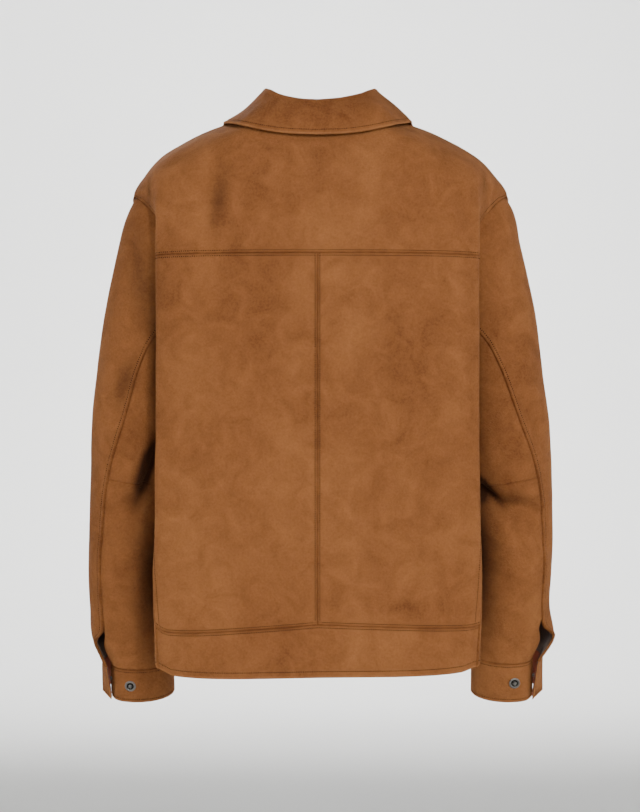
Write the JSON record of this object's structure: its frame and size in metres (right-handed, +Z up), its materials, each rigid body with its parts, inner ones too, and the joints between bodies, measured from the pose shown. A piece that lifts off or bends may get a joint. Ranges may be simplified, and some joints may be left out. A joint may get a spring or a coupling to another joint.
{
  "type": "nubuck blouson jacket",
  "caption": "Hip-length nubuck blouson with a shirt collar, back yoke, hem band, two-piece sleeves with open vents and snap cuffs, hollow and filled out as if worn.",
  "frame": {"origin": "middle of the neck, level with the points where the shoulder seams meet the collar; the wearer's neck and shoulders hold the jacket there", "axes": "+Z up, +Y towards the back of the jacket, +X towards the wearer's left"},
  "size_m": [0.5742, 0.2288, 0.7521],
  "materials": {
    "nubuck": "matte napped nubuck in tan brown, mottled, darker along seams and in the folds",
    "facing": "smooth red-brown leather on the inner face of the cuffs",
    "lining": "grey-brown satin with a soft sheen",
    "press_stud": "gunmetal press studs, softly polished"
  },
  "bodies": {
    "root": {"back_yoke": "nubuck", "back_band": "nubuck", "collar_fall": "nubuck", "collar_stand": "nubuck", "placket_left": "nubuck", "placket_right": "nubuck", "back_left": "nubuck", "front_left": "nubuck", "sleeve_upper_left": "nubuck", "sleeve_under_top_left": "nubuck", "sleeve_under_low_left": "nubuck", "cuff_left": "nubuck", "back_right": "nubuck", "front_right": "nubuck", "sleeve_upper_right": "nubuck", "sleeve_under_top_right": "nubuck", "sleeve_under_low_right": "nubuck", "cuff_right": "nubuck", "cuff_facing_left": "facing", "cuff_facing_right": "facing", "vent_lining_left": "lining", "vent_lining_right": "lining", "snap_cap_1": "press_stud", "snap_cap_2": "press_stud", "snap_cap_3": "press_stud", "snap_cap_4": "press_stud", "snap_cap_5": "press_stud", "snap_cap_6": "press_stud", "snap_socket_left": "press_stud", "snap_ball_left": "press_stud", "snap_socket_right": "press_stud", "snap_ball_right": "press_stud"}
  },
  "joints": []
}
